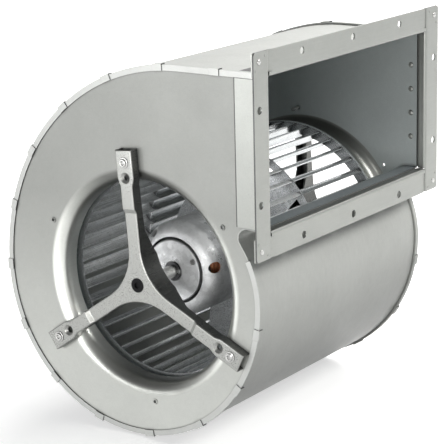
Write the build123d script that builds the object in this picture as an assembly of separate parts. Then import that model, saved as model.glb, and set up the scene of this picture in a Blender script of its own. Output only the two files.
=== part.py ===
from build123d import *
import os
from math import asin, atan2, cos, degrees, radians, sin, sqrt

# Sizes are millimetres. The drawing has the fan axis along Z through its origin, Y up, and Z
# towards the near side, where the shown bracket is. place() turns and moves it to the part's frame:
# origin at the middle of the outlet flange's front face, X out of the outlet, Z up.

# Sheet metal
plate_sheet = 1.2
wrap_sheet = 1.2
angle_sheet = 1.5
bracket_sheet = 1.8
wheel_sheet = 1.0
blade_sheet = 0.8

# Room left between parts
running_clearance = 0.05
seat_clearance = 0.02
air_gap = 0.6
hole_room = 0.2

# Wheel: two rows of forward-curved blades on a middle disc with spokes
wheel_radius = 104.5
blade_depth = 12.0
blade_reach = 110.0
blade_count = 44
blade_lead = 3.6
blade_bow = 2.6
blade_tip_room = 0.3
end_ring_width = 11.0
end_ring_lap = 1.5
mid_ring_width = 7.0
mid_ring_proud = 0.8
hub_disc_past_rotor = 21.6
spoke_count = 5
spoke_width = 34.0
spoke_turn = 47.0
spoke_lap = 5.0

# Inlets
lip_past_blades = 1.9
lip_room = 7.5
bell_radius = 12.0
lip_depth = 21.0
inlet_hole_out = 5.6
inlet_hole_radius = 1.6
inlet_collar_radius = 3.2
inlet_collar_top = 0.5
inlet_collar_height = 1.2
inlet_turn = 35.5

# Scroll: room between the wheel and the wrap on its four sides, and the tongue
scroll_right_room = 23.0
scroll_bottom_room = 40.5
scroll_left_room = 53.0
scroll_top_room = 97.4
scroll_step = 14.0
tongue_tuck = 32.5
nose_radius = 8.5
outlet_floor_drop = 38.5

# Seam that folds the wrap over the plates, and the crimps pressed into it
seam_proud = 2.0
seam_lap = 2.0
seam_over = 1.2
seam_depth = 3.6
seam_tongue_stop = 26.0
crimp_first = 53.0
crimp_pitch = 61.0
crimp_length = 10.0
crimp_proud = 0.9

# Outlet flange made of four angles
outlet_neck = 12.2
opening_step = 2.9
flange_rim = 21.8
flange_hole_radius = 3.4
flange_bend = 3.0
leg_reach = 32.0
floor_leg_gap = 2.6
leg_end_gap = 0.4
joggle_back = 10.5
joggle_run = 3.0
joggle_bend = 0.9
corner_step_run = 5.0
corner_step_back = 0.3
row_hole_pitch = 84.0
column_hole_pitch = 81.6
row_hole_in = 13.5
column_hole_in = 13.9
plate_end_gap = 11.5
flange_corner = 3.0
rivet_radius = 2.6
rivet_shank_radius = 1.56
rivet_head_height = 1.3
pip_radius = 1.3
pip_height = 0.6
pip_in = 9.2
pip_out = 4.5
pip_near = 4.5
pip_far = 7.3
leg_rivet_count = 4
leg_rivet_pitch = 23.5
leg_rivet_inset = 6.5
leg_rivet_drop = 33.0

# Three-armed brackets
arm_turn = 94.4
arm_half = 6.8
arm_end_half = 9.1
arm_end_out = 11.5
arm_shoulder_in = 21.5
arm_shoulder_run = 7.0
arm_seat_ramp = 1.5
arm_seat_in = 4.0
arm_seat_out = 5.0
hub_waist = 16.2
step_past_rotor = 24.0
step_run = 4.0
arm_edge_radius = 1.5
arm_end_height = 9.5
arm_hub_height = 7.0
arm_hub_depth = 23.0
arm_wall_depth = 10.0
arm_wall_out = 50.0
bracket_screw_out = 1.5
lightening_in = 14.0
lightening_radius = 2.6
dish_radius = 5.2
dish_depth = 2.2
dish_sheet = 1.2
screw_radius = 2.0
screw_head_radius = 4.9
screw_head_height = 2.4
screw_washer_height = 0.8
screw_cap_radius = 3.7
screw_cap_top_radius = 3.0
screw_socket_radius = 1.5
screw_socket_depth = 1.2
screw_end = 12.0

# Axle, bushes and bearings
axle_radius = 6.0
axle_end_sunk = 3.5
bush_nose_radius = 6.6
bush_nose_proud = 0.6
bush_dimple_radius = 3.0
bush_dimple_depth = 1.6
bush_radius = 11.5
bush_length = 14.0
bearing_radius = 14.0
bearing_width = 8.0
bearing_gap = 8.0
bearing_ring = 2.2
ball_count = 8
clip_width = 1.2
clip_radius = 8.6
clip_opening = 4.8

# Motor with its rotor outside
rotor_radius = 45.0
rotor_wall = 3.0
motor_front = 92.0
dome_opening_in = 13.0
end_plate_room = 2.6
end_plate_thick = 5.0
end_plate_edge = 0.8
sunk_ring_radius = 9.6
sunk_ring_depth = 1.2
axle_collar = 1.6
dome_start = 70.0
dome_shoulder = 4.0
dome_crown = 16.0
cage_wall = 4.2
cage_past_core = 2.0
sleeve_radius = 13.0
core_front = 62.0
core_back = 18.0
core_slots = 12
slot_width = 5.0
slot_rim = 3.0
core_yoke = 8.2
slot_mouth_width = 1.75
slot_mouth_depth = 6.0
winding_front = 79.0
winding_back = 9.5
winding_in_slot = 0.2
winding_round = 3.0
bundle_room = 0.6
window_count = 3
window_turn = 9.5
window_along = 13.5
window_across = 10.6
window_in = 3.5
window_rise = 12.5
window_tilt = 60.0
peg_turn = 18.0
peg_in = 4.0
peg_radius = 1.7
peg_head_height = 1.0
hub_radius = 18.0
hub_screw_count = 6
hub_screw_in = 14.0
hub_screw_length = 5.0
hub_screw_head_radius = 3.6
hub_screw_head_height = 2.5
hub_socket_radius = 1.6
hub_socket_depth = 1.4

blade_inner_radius = wheel_radius - blade_depth
end_ring_inner = wheel_radius - end_ring_width
mid_ring_inner = wheel_radius - mid_ring_width
hub_disc_radius = rotor_radius + hub_disc_past_rotor
lip_radius = blade_inner_radius + lip_past_blades
bell_start = lip_radius + bell_radius
half_width = blade_reach + wheel_sheet + lip_room + lip_depth
plate_inside = half_width - plate_sheet

scroll_right = wheel_radius + scroll_right_room
scroll_bottom = wheel_radius + scroll_bottom_room
scroll_left = wheel_radius + scroll_left_room
scroll_top = wheel_radius + scroll_top_room
tongue_radius = scroll_right - tongue_tuck
outlet_floor = wheel_radius - outlet_floor_drop
flange_face = scroll_right + outlet_neck
duct_end = flange_face - plate_end_gap
duct_top = scroll_top - wrap_sheet
duct_floor = outlet_floor + wrap_sheet
flange_middle = (duct_top + duct_floor) / 2
opening_half_height = (duct_top - duct_floor) / 2
opening_half_width = plate_inside - opening_step
flange_half_height = opening_half_height + flange_rim + angle_sheet
flange_half_width = opening_half_width + flange_rim + angle_sheet
row_height = opening_half_height + angle_sheet + row_hole_in
column_across = opening_half_width + angle_sheet + column_hole_in

inlet_hole_circle = bell_start + inlet_hole_out
bracket_screw_circle = inlet_hole_circle + bracket_screw_out
lightening_circle = bracket_screw_circle - lightening_in
arm_reach = bracket_screw_circle + arm_end_out
arm_shoulder = bracket_screw_circle - arm_shoulder_in
step_circle = rotor_radius + step_past_rotor
web_end = half_width + arm_end_height
web_hub = half_width + arm_hub_height
axle_half = web_hub - axle_end_sunk

dome_opening = rotor_radius - dome_opening_in
end_plate_radius = dome_opening - end_plate_room
peg_circle = end_plate_radius - peg_in
window_circle = rotor_radius - window_in
hub_screw_circle = rotor_radius - hub_screw_in
core_radius = rotor_radius - rotor_wall - cage_wall - air_gap
slot_depth = core_radius - slot_rim - core_yoke - sleeve_radius
winding_depth = slot_depth - bundle_room
cut_length = arm_hub_depth

# Arc centres of the wrap's outer face, each arc tangent to the next
lower_radius = scroll_right + scroll_step
lower_centre = (-scroll_step, lower_radius - scroll_bottom)
left_radius = scroll_left - scroll_step
left_centre = (-scroll_step, left_radius - scroll_bottom)
upper_radius = scroll_top - left_centre[1]
upper_centre = (upper_radius - scroll_left, left_centre[1])
tongue_centre = (tongue_tuck, lower_centre[1])
nose_height = outlet_floor - nose_radius
nose_rise = nose_height - tongue_centre[1]
nose_centre = (
    tongue_centre[0] + sqrt((tongue_radius + nose_radius) ** 2 - nose_rise ** 2),
    nose_height,
)
nose_angle = degrees(asin(nose_rise / (tongue_radius + nose_radius)))
floor_leg_reach = flange_face - nose_centre[0] - floor_leg_gap


def place(shape):
    """Turn the drawing upright and put the outlet flange's middle at the origin."""
    return Location((-flange_face, 0, -flange_middle)) * (Rot(90, 0, 0) * shape)


def save(shape, name):
    export_step(place(shape), f"parts/{name}.step")


def at_angle(radius, angle, height=0.0):
    return (radius * cos(radians(angle)), radius * sin(radians(angle)), height)


def on_circle(centre, radius, angle):
    return (centre[0] + radius * cos(radians(angle)), centre[1] + radius * sin(radians(angle)))


def arc(centre, radius, start, end):
    middle = (start + end) / 2
    return ThreePointArc(
        on_circle(centre, radius, start),
        on_circle(centre, radius, middle),
        on_circle(centre, radius, end),
    )


def scroll_curve(outward):
    """Edges from the outlet's top, round the scroll, to where the tongue's arc starts."""
    top = (upper_centre[0], scroll_top + outward)
    return [
        Line((duct_end, scroll_top + outward), top),
        arc(upper_centre, upper_radius + outward, 90, 180),
        arc(left_centre, left_radius + outward, 180, 270),
        arc(lower_centre, lower_radius + outward, 270, 360),
    ]


def wrap_curve(outward):
    """The scroll's edges with the tongue, its nose and the outlet's floor."""
    floor_start = (nose_centre[0], outlet_floor - outward)
    floor_end = (duct_end, outlet_floor - outward)
    return scroll_curve(outward) + [
        arc(tongue_centre, tongue_radius + outward, 0, nose_angle),
        arc(nose_centre, nose_radius - outward, nose_angle + 180, 90),
        Line(floor_start, floor_end),
    ]


def seam_curve(outward):
    """The scroll's edges up to where the seam stops below the nose."""
    return scroll_curve(outward) + [
        arc(tongue_centre, tongue_radius + outward, 0, seam_tongue_stop),
    ]


def strip(curve, outer, inner, low, high):
    """Closed band between two offsets of a curve, from one height to another."""
    outside = Wire(curve(outer))
    inside = Wire(curve(inner))
    first = Line(outside @ 0, inside @ 0)
    last = Line(outside @ 1, inside @ 1)
    face = make_face(Wire(list(outside.edges()) + list(inside.edges()) + [first, last]))
    return Pos(0, 0, low) * extrude(face, high - low)


def ring(outer, inner, low, high):
    return Pos(0, 0, low) * extrude(Circle(outer) - Circle(inner), high - low)


def disc(radius, low, high):
    return Pos(0, 0, low) * extrude(Circle(radius), high - low)


def around(shape, count, start=0.0):
    return [Rot(0, 0, start + 360 / count * index) * shape for index in range(count)]


def to_far_side(shape):
    return mirror(shape, about=Plane.XY)


def make_crimps():
    """Short pads pressed over the near seam at an even pitch."""
    path = Wire(seam_curve(seam_proud))
    first = crimp_first - plate_end_gap
    count = int((path.length - first - crimp_length) / crimp_pitch) + 1
    thick = seam_proud + wrap_sheet + seam_lap + crimp_proud
    deep = seam_depth + seam_over + crimp_proud
    pads = []
    for index in range(count):
        share = (first + index * crimp_pitch) / path.length
        spot = path.position_at(share)
        run = path.tangent_at(share)
        pad = Pos(0, crimp_proud - thick / 2, 0) * Box(crimp_length, thick, deep)
        turned = Rot(0, 0, degrees(atan2(run.Y, run.X)) + 180) * pad
        middle = half_width + seam_over + crimp_proud - deep / 2
        inner = disc(scroll_top * 2, half_width - seam_depth * 2, half_width)
        skin = strip(seam_curve, seam_proud + crimp_proud * 2, 0, half_width - seam_depth, half_width)
        placed = Pos(spot.X, spot.Y, middle) * turned
        pads += [placed - inner, placed & skin]
    return pads


def make_wrap():
    sheet = strip(wrap_curve, 0, -wrap_sheet, -half_width, half_width)
    proud = strip(seam_curve, seam_proud, 0, half_width - seam_depth, half_width)
    lap = strip(seam_curve, seam_proud, -wrap_sheet - seam_lap, half_width, half_width + seam_over)
    near = [proud, lap] + make_crimps()
    far = [to_far_side(piece) for piece in near]
    return sheet.fuse(*near, *far).clean()


def plate_face():
    """Outline of a side plate, inside the wrap and short of the flange."""
    outline = Wire(wrap_curve(-wrap_sheet))
    return make_face(Wire(list(outline.edges()) + [Line(outline @ 0, outline @ 1)]))


def bellmouth():
    """Rounded inlet with a short straight lip, as a turned profile."""
    start = bell_start
    waist = half_width - bell_radius
    end = half_width - lip_depth
    half = sqrt(0.5)
    mid_out = (start - bell_radius * half, waist + bell_radius * half)
    thin = bell_radius - plate_sheet
    mid_in = (start - thin * half, waist + thin * half)
    edges = [
        ThreePointArc((start, half_width), mid_out, (lip_radius, waist)),
        Line((lip_radius, waist), (lip_radius, end)),
        Line((lip_radius, end), (lip_radius + plate_sheet, end)),
        Line((lip_radius + plate_sheet, end), (lip_radius + plate_sheet, waist)),
        ThreePointArc((lip_radius + plate_sheet, waist), mid_in, (start, plate_inside)),
        Line((start, plate_inside), (start, half_width)),
    ]
    return revolve(Plane.XZ * make_face(Wire(edges)), Axis.Z)


def make_side_plate():
    plate = Pos(0, 0, plate_inside) * extrude(plate_face(), plate_sheet)
    plate -= disc(bell_start, plate_inside - plate_sheet, half_width + plate_sheet)
    plate += bellmouth()
    top = inlet_collar_height + plate_sheet
    collar = Pos(*at_angle(inlet_hole_circle, 0, plate_inside + top / 2)) * Cone(
        inlet_collar_radius, inlet_hole_radius + inlet_collar_top, top
    )
    hole = Pos(*at_angle(inlet_hole_circle, 0, half_width)) * Cylinder(
        inlet_hole_radius, cut_length
    )
    screw_hole = Pos(*at_angle(bracket_screw_circle, 0, half_width)) * Cylinder(
        screw_radius + seat_clearance, cut_length
    )
    for piece in around(collar, 3, inlet_turn):
        plate += piece
    for piece in around(hole, 3, inlet_turn) + around(screw_hole, 3, arm_turn):
        plate -= piece
    for piece in leg_rivet_holes():
        plate -= piece
    return plate


def leg_rivet_spots():
    top = flange_middle + opening_half_height - leg_rivet_drop
    x = duct_end - leg_rivet_inset
    return [(x, top - leg_rivet_pitch * index) for index in range(leg_rivet_count)]


def leg_rivet_holes():
    radius = rivet_shank_radius + seat_clearance
    return [Pos(x, y, half_width) * Cylinder(radius, cut_length) for x, y in leg_rivet_spots()]


def angle_section(reach, over):
    """Section of a flange angle: leg outside the sheet, joggle, bend and face.

    X runs out of the outlet and Y outwards from the opening's edge, which is at 0.
    """
    back = flange_face - reach
    knee = flange_face - joggle_back
    path = [
        (back, over + angle_sheet / 2),
        (knee, over + angle_sheet / 2),
        (knee + joggle_run, angle_sheet / 2),
        (flange_face - angle_sheet / 2, angle_sheet / 2),
        (flange_face - angle_sheet / 2, flange_rim + angle_sheet),
    ]
    bend = flange_bend - angle_sheet / 2
    line = FilletPolyline(*path, radius=[joggle_bend, joggle_bend, bend])
    return trace(line, angle_sheet)


def face_hole(across, up):
    return Pos(flange_face, up, across) * Rot(0, 90, 0) * Cylinder(flange_hole_radius, cut_length)


def corner_pips():
    """Small raised spots beside the corner rivets, two at each end of an upright."""
    pip = scale(Sphere(pip_radius), by=(pip_height / pip_radius, 1, 1))
    spots = []
    for side in (1, -1):
        rivet_up = flange_middle + side * row_height
        spots.append((column_across - pip_in, rivet_up + side * pip_near))
        spots.append((column_across + pip_out, rivet_up - side * pip_far))
    return [Pos(flange_face, up, across) * pip for across, up in spots]


def make_upright():
    """Near upright angle, with its leg on the near side plate."""
    height = 2 * flange_half_height
    section = angle_section(leg_reach, opening_step + plate_sheet)
    leg_top = scroll_top - wrap_sheet - seam_lap - leg_end_gap
    leg_bottom = duct_floor + leg_end_gap
    bar = Pos(0, flange_middle - height / 2, opening_half_width) * (
        Plane((0, 0, 0), x_dir=(1, 0, 0), z_dir=(0, -1, 0)) * section
    )
    bar = extrude(bar, height, dir=(0, 1, 0))
    behind = flange_face - angle_sheet
    block = Box(leg_reach * 2, flange_rim * 2, flange_rim * 4)
    for side, leg_end in ((1, leg_top), (-1, leg_bottom)):
        neck_end = flange_middle + side * (opening_half_height - seat_clearance)
        bar -= Pos(duct_end + leg_end_gap - leg_reach, leg_end + side * flange_rim, half_width) * block
        bar -= Pos(behind - leg_reach, neck_end + side * flange_rim, half_width) * block
    for side in (1, -1):
        bar -= face_hole(column_across, flange_middle + side * column_hole_pitch / 2)
    corner_edges = [
        edge for edge in bar.edges().filter_by(Axis.X)
        if abs(edge.center().Z - flange_half_width) < angle_sheet / 2
        and abs(edge.center().X - flange_face) < angle_sheet
    ]
    bar = fillet(corner_edges, flange_corner)
    for piece in corner_pips():
        bar += piece
    for piece in leg_rivet_holes() + corner_rivet_holes():
        bar -= piece
    return bar


def make_cross_bar(reach):
    """Top angle between the uprights, the ends of its face stepped back behind them."""
    section = angle_section(reach, wrap_sheet)
    half_middle = opening_half_width - corner_step_run
    low = flange_middle + opening_half_height
    bar = Pos(0, low, -half_middle) * extrude(section, 2 * half_middle)
    face_low = low + flange_bend
    face_high = flange_middle + flange_half_height
    front = flange_face - angle_sheet
    tabs = []
    for side in (1, -1):
        start = side * half_middle
        bend = side * (opening_half_width - corner_step_back)
        end = side * (flange_half_width - corner_step_back)
        outline = [
            (front, -start), (flange_face, -start), (front, -bend), (front, -end),
            (front - angle_sheet, -end), (front - angle_sheet, -bend),
        ]
        plan = Plane((0, face_low, 0), x_dir=(1, 0, 0), z_dir=(0, 1, 0))
        tabs.append(extrude(plan * make_face(Polyline(*outline, close=True)), face_high - face_low))
    full_width = 2 * (opening_half_width - seat_clearance)
    whole = Pos(0, low, -full_width / 2) * extrude(section, full_width)
    leg_room = Pos(flange_face, low, 0) * Box(reach * 3, (flange_bend + angle_sheet) * 2, full_width)
    bar = bar.fuse(*tabs, whole & leg_room)
    for index in (-1, 0, 1):
        bar -= face_hole(index * row_hole_pitch, flange_middle + row_height)
    for piece in corner_rivet_holes():
        bar -= piece
    return bar


def corner_rivet_spots():
    return [(a * column_across, flange_middle + b * row_height) for a in (1, -1) for b in (1, -1)]


def corner_rivet_holes():
    radius = rivet_shank_radius + seat_clearance
    return [
        Pos(flange_face, up, across) * Rot(0, 90, 0) * Cylinder(radius, cut_length)
        for across, up in corner_rivet_spots()
    ]


def rivet_head():
    half = Pos(0, 0, rivet_radius) * Box(rivet_radius * 3, rivet_radius * 3, rivet_radius * 2)
    dome = Sphere(rivet_radius) & half
    return scale(dome, by=(1, 1, rivet_head_height / rivet_radius))


def rivet(grip):
    """Round-headed rivet along Z: shank below zero, head above, formed end beyond the grip."""
    tail = Pos(0, 0, -grip) * mirror(rivet_head(), about=Plane.XY)
    return disc(rivet_shank_radius, -grip, 0).fuse(rivet_head(), tail).clean()


def make_corner_rivets():
    piece = Rot(0, 90, 0) * rivet(angle_sheet * 2)
    return [Pos(flange_face, up, across) * piece for across, up in corner_rivet_spots()]


def make_leg_rivets():
    grip = angle_sheet + plate_sheet
    head = mirror(rivet_head(), about=Plane.XY)
    piece = disc(rivet_shank_radius, 0, grip).fuse(head).clean()
    near = [Pos(x, y, plate_inside) * piece for x, y in leg_rivet_spots()]
    return near + [to_far_side(item) for item in near]


def star_face(inset):
    """Plan of the three-armed bracket, drawn as one closed outline with curved waists."""
    half = arm_half - inset
    end_half = arm_end_half - inset
    waist = hub_waist - inset
    lean = sin(radians(60))
    bow = (waist * lean - half) / (1 - lean)
    centre_distance = waist + bow
    tangent = centre_distance * cos(radians(60))
    shoulder_end = arm_shoulder + arm_shoulder_run
    edges = []
    for index in range(3):
        turn = arm_turn + 120 * index

        def spot(along, across):
            point = Vector(along, across).rotate(Axis.Z, turn)
            return (point.X, point.Y)

        points = [
            spot(tangent, -half),
            spot(arm_shoulder, -half),
            spot(shoulder_end, -end_half),
            spot(arm_reach, -end_half),
            spot(arm_reach, end_half),
            spot(shoulder_end, end_half),
            spot(arm_shoulder, half),
            spot(tangent, half),
        ]
        edges += [Line(a, b) for a, b in zip(points, points[1:])]
        between = turn + 60
        centre = at_angle(centre_distance, between)[:2]
        edges.append(arc(centre, bow, between + 210, between + 150))
    return make_face(Wire(edges))


def web_profile(lowered, floor):
    """Turned profile of the bracket's web, stepped down between its arms' ends and its hub."""
    inner = step_circle - step_run / 2
    outer = step_circle + step_run / 2
    far = arm_reach * 1.2
    points = [(0, floor)]
    points += [(0, web_hub - lowered), (inner, web_hub - lowered)]
    points += [(outer, web_end - lowered), (far, web_end - lowered), (far, floor)]
    return revolve(Plane.XZ * make_face(Polyline(*points, close=True)), Axis.Z)


def flange_floor():
    """Room below the bracket's side walls, which deepen towards the hub."""
    low = half_width - arm_hub_depth * 2
    points = [
        (0, low), (0, web_hub - arm_hub_depth), (hub_waist * 1.6, web_hub - arm_hub_depth),
        (arm_wall_out, web_hub - arm_wall_depth),
        (step_circle, web_end - arm_wall_depth - arm_seat_ramp),
        (lip_radius - arm_seat_in, half_width - arm_seat_ramp),
        (lip_radius + arm_seat_out, half_width), (arm_reach * 1.3, half_width),
        (arm_reach * 1.3, low),
    ]
    return revolve(Plane.XZ * make_face(Polyline(*points, close=True)), Axis.Z)


def make_dishes(height):
    """Dished holes in the arms: a cone pressed into the web, solid, and the hollow in it."""
    spot = Pos(*at_angle(lightening_circle, 0, web_end))
    narrow = lightening_radius
    hollow = spot * Pos(0, 0, -dish_depth / 2) * Cone(narrow, dish_radius, dish_depth)
    hollow = hollow.fuse(spot * Cylinder(narrow, height))
    cup = spot * Pos(0, 0, -dish_depth / 2 - dish_sheet) * Cone(
        narrow + dish_sheet, dish_radius, dish_depth
    )
    return around(cup, 3, arm_turn), around(hollow, 3, arm_turn)


def round_web_edges(body):
    """Round the outer edges of the web, where the sheet is bent into the side walls."""
    edges = [
        edge for edge in body.edges()
        if edge.center().Z > web_hub - seat_clearance
        and edge.length > arm_edge_radius
    ]
    return fillet(edges, arm_edge_radius)


def make_bracket():
    low = half_width - arm_hub_depth
    high = web_end + bracket_sheet
    below = low - bracket_sheet
    body = Pos(0, 0, low) * extrude(star_face(0), high - low)
    body = body & web_profile(0, below)
    body = round_web_edges(body)
    hollow = Pos(0, 0, below) * extrude(star_face(bracket_sheet), high - low)
    hollow = hollow & web_profile(bracket_sheet, below - bracket_sheet)
    mouth = Pos(*at_angle(arm_reach, 0, low)) * Box(
        bracket_sheet * 2, (arm_end_half - bracket_sheet) * 2, (web_end - bracket_sheet - low) * 2
    )
    body = body - hollow - flange_floor()
    for piece in around(mouth, 3, arm_turn):
        body -= piece
    body -= Cylinder(bush_nose_radius + seat_clearance, web_hub * 4)
    hole = Pos(*at_angle(bracket_screw_circle, 0, web_end)) * Cylinder(
        screw_radius + hole_room, cut_length
    )
    cups, dishes = make_dishes(cut_length)
    for piece in cups:
        body += piece
    for piece in around(hole, 3, arm_turn) + dishes:
        body -= piece
    return body


def make_bracket_screws():
    length = arm_end_height + screw_end
    shank = Pos(0, 0, -length / 2) * Cylinder(screw_radius, length)
    washer = disc(screw_head_radius, 0, screw_washer_height)
    cap_height = screw_head_height - screw_washer_height
    cap = Pos(0, 0, screw_washer_height + cap_height / 2) * Cone(
        screw_cap_radius, screw_cap_top_radius, cap_height
    )
    socket = extrude(RegularPolygon(screw_socket_radius, 6), -screw_socket_depth)
    screw = shank.fuse(washer, cap) - Pos(0, 0, screw_head_height) * socket
    return around(Pos(*at_angle(bracket_screw_circle, 0, web_end)) * screw, 3, arm_turn)


def make_bush():
    """Rubber bush: a nose through the bracket's web and a thicker body behind it."""
    seat = web_hub - bracket_sheet
    back = seat - bush_length
    front = web_hub + bush_nose_proud
    bush = disc(bush_nose_radius, back, front) + disc(bush_radius, back, seat)
    bush -= disc(bush_dimple_radius, front - bush_dimple_depth, front)
    return bush - disc(axle_radius, back, axle_half)


def make_axle():
    return Cylinder(axle_radius, axle_half * 2)


def bearing_places():
    return [-bearing_width, -2 * bearing_width - bearing_gap]


def make_bearing_inner_rings():
    return [
        ring(axle_radius + bearing_ring, axle_radius, low, low + bearing_width)
        for low in bearing_places()
    ]


def make_bearing_outer_rings():
    return [
        ring(bearing_radius, bearing_radius - bearing_ring, low, low + bearing_width)
        for low in bearing_places()
    ]


def make_bearing_balls():
    inner = axle_radius + bearing_ring + running_clearance
    outer = bearing_radius - bearing_ring - running_clearance
    ball = Pos((inner + outer) / 2, 0, 0) * Sphere((outer - inner) / 2)
    return [
        Pos(0, 0, low + bearing_width / 2) * piece
        for low in bearing_places()
        for piece in around(ball, ball_count)
    ]


def make_bearing_spacer():
    return ring(axle_radius + bearing_ring, axle_radius, -bearing_width - bearing_gap, -bearing_width)


def make_axle_clips():
    far_end = bearing_places()[1]
    clip = ring(clip_radius, axle_radius, 0, clip_width)
    clip -= Pos(clip_radius, 0, 0) * Box(clip_radius, clip_opening, clip_width * 4)
    return [Pos(0, 0, far_end - clip_width) * clip, Pos(0, 0, motor_front) * clip]


def make_stator_sleeve():
    back = core_back - cage_past_core
    return ring(sleeve_radius, axle_radius, back, motor_front - end_plate_thick)


def make_stator_core():
    """Stack of laminations with slots for the coils."""
    core = ring(core_radius, sleeve_radius, core_back, core_front)
    middle = (core_front + core_back) / 2
    height = core_front - core_back + air_gap
    radial = core_radius - slot_depth / 2 - slot_rim
    slot = Pos(radial, 0, middle) * Box(slot_depth, slot_width, height)
    mouth = Pos(core_radius, 0, middle) * Box(slot_mouth_depth * 2, slot_mouth_width, height)
    for piece in around(slot, core_slots) + around(mouth, core_slots):
        core -= piece
    return core


def make_windings():
    """Coil heads at both ends, joined by the wire bundles in the slots."""
    outer = core_radius - slot_rim - winding_in_slot
    inner = outer - winding_depth
    front = ring(outer, inner, core_front, winding_front)
    front = fillet(front.edges().group_by(Axis.Z)[-1], winding_round)
    back = ring(outer, inner, winding_back, core_back)
    back = fillet(back.edges().group_by(Axis.Z)[0], winding_round)
    middle = (core_front + core_back) / 2
    bundle = Pos((outer + inner) / 2, 0, middle) * Box(
        winding_depth - bundle_room, slot_width - bundle_room, core_front - core_back
    )
    return front.fuse(back, *around(bundle, core_slots)).clean()


def make_end_plate():
    """Round plate that closes the stator, with a sunk ring round the axle."""
    low = motor_front - end_plate_thick
    plate = ring(end_plate_radius, axle_radius, low, motor_front)
    rim = plate.edges().group_by(Axis.Z)[-1].sort_by(SortBy.LENGTH)[-1]
    plate = chamfer(rim, end_plate_edge)
    sunk = ring(sunk_ring_radius, axle_radius + axle_collar, -sunk_ring_depth, 0)
    plate -= Pos(0, 0, motor_front) * sunk
    hole = Pos(*at_angle(peg_circle, 0, motor_front)) * Cylinder(
        peg_radius + seat_clearance, end_plate_thick
    )
    for piece in around(hole, window_count, window_turn + peg_turn):
        plate -= piece
    return plate


def make_end_plate_pegs():
    shank = disc(peg_radius, -end_plate_thick / 2, 0)
    head = disc(peg_radius * 1.5, 0, peg_head_height)
    peg = Pos(*at_angle(peg_circle, 0, motor_front)) * shank.fuse(head)
    return around(peg, window_count, window_turn + peg_turn)


def make_rotor_dome():
    """Rounded cover of the rotor's open end, with oval windows over the coils."""
    shoulder = dome_start + dome_shoulder
    crown = shoulder + dome_crown
    reach = rotor_radius - dome_opening
    half = sqrt(0.5)
    rise = crown - shoulder
    thin = rotor_wall
    outside_mid = (dome_opening + reach * half, shoulder + rise * half)
    inside_mid = (dome_opening + (reach - thin) * half, shoulder + (rise - thin) * half)
    edges = [
        Line((rotor_radius, dome_start), (rotor_radius, shoulder)),
        ThreePointArc((rotor_radius, shoulder), outside_mid, (dome_opening, crown)),
        Line((dome_opening, crown), (dome_opening, crown - thin)),
        ThreePointArc((dome_opening, crown - thin), inside_mid, (rotor_radius - thin, shoulder)),
        Line((rotor_radius - thin, shoulder), (rotor_radius - thin, dome_start)),
        Line((rotor_radius - thin, dome_start), (rotor_radius, dome_start)),
    ]
    dome = revolve(Plane.XZ * make_face(Wire(edges)), Axis.Z)
    window = extrude(Ellipse(window_along / 2, window_across / 2), rotor_wall * 2, both=True)
    cutter = Pos(window_circle, 0, dome_start + window_rise) * Rot(0, window_tilt, 0) * window
    for piece in around(cutter, window_count, window_turn):
        dome -= piece
    return dome


def hub_screw_holes():
    hole = Pos(*at_angle(hub_screw_circle, 0)) * Cylinder(screw_radius + seat_clearance, cut_length)
    return around(hole, hub_screw_count)


def make_rotor_cup():
    """Rotor shell, closed towards the wheel's disc, with the bearing hub on its back."""
    floor_low = wheel_sheet / 2
    floor_high = floor_low + rotor_wall
    shell = ring(rotor_radius, rotor_radius - rotor_wall, floor_high, dome_start)
    shell += ring(rotor_radius, clip_radius + air_gap, floor_low, floor_high)
    hub_low = bearing_places()[1] - wheel_sheet
    shell += ring(hub_radius, bearing_radius + seat_clearance, hub_low, floor_low)
    for piece in hub_screw_holes():
        shell -= piece
    return shell


def make_rotor_cage():
    outer = rotor_radius - rotor_wall - seat_clearance
    inner = core_radius + air_gap
    return ring(outer, inner, core_back - cage_past_core, core_front + cage_past_core)


def make_mid_disc():
    """Disc that carries the blades: hub plate, spokes and the ring between the two blade rows."""
    half = wheel_sheet / 2
    plate = ring(hub_disc_radius, hub_radius + seat_clearance, -half, half)
    plate += ring(wheel_radius + mid_ring_proud, mid_ring_inner, -half, half)
    start = hub_disc_radius - spoke_lap
    end = mid_ring_inner + spoke_lap
    spoke = Pos((start + end) / 2, 0, 0) * Box(end - start, spoke_width, wheel_sheet)
    for piece in around(spoke, spoke_count, spoke_turn):
        plate += piece
    for piece in hub_screw_holes():
        plate -= piece
    return plate


def make_hub_screws():
    seat = -wheel_sheet / 2
    shank = disc(screw_radius, seat, seat + hub_screw_length)
    head = disc(hub_screw_head_radius, seat - hub_screw_head_height, seat)
    socket = extrude(RegularPolygon(hub_socket_radius, 6), hub_socket_depth)
    head -= Pos(0, 0, seat - hub_screw_head_height) * socket
    screw = Pos(*at_angle(hub_screw_circle, 0)) * shank.fuse(head)
    return around(screw, hub_screw_count)


def blade_face():
    """Section of one forward-curved blade, hollow side towards the direction of turning."""
    start = Vector(*at_angle(blade_inner_radius, 0))
    end = Vector(*at_angle(wheel_radius - blade_tip_room, -blade_lead))
    across = (end - start).normalized()
    normal = Vector(-across.Y, across.X)
    middle = (start + end) / 2 + normal * blade_bow
    half = normal * (blade_sheet / 2)
    front = ThreePointArc(start - half, middle - half, end - half)
    back = ThreePointArc(start + half, middle + half, end + half)
    sides = [Line(front @ 0, back @ 0), Line(front @ 1, back @ 1)]
    return make_face(Wire([front, back] + sides))


def make_blades():
    blade = Pos(0, 0, wheel_sheet / 2) * extrude(blade_face(), blade_reach - wheel_sheet / 2)
    return around(blade, blade_count)


def make_end_ring():
    top = blade_reach + wheel_sheet
    plate = ring(wheel_radius, end_ring_inner, blade_reach, top)
    return plate + ring(wheel_radius + wheel_sheet, wheel_radius, blade_reach - end_ring_lap, top)


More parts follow.
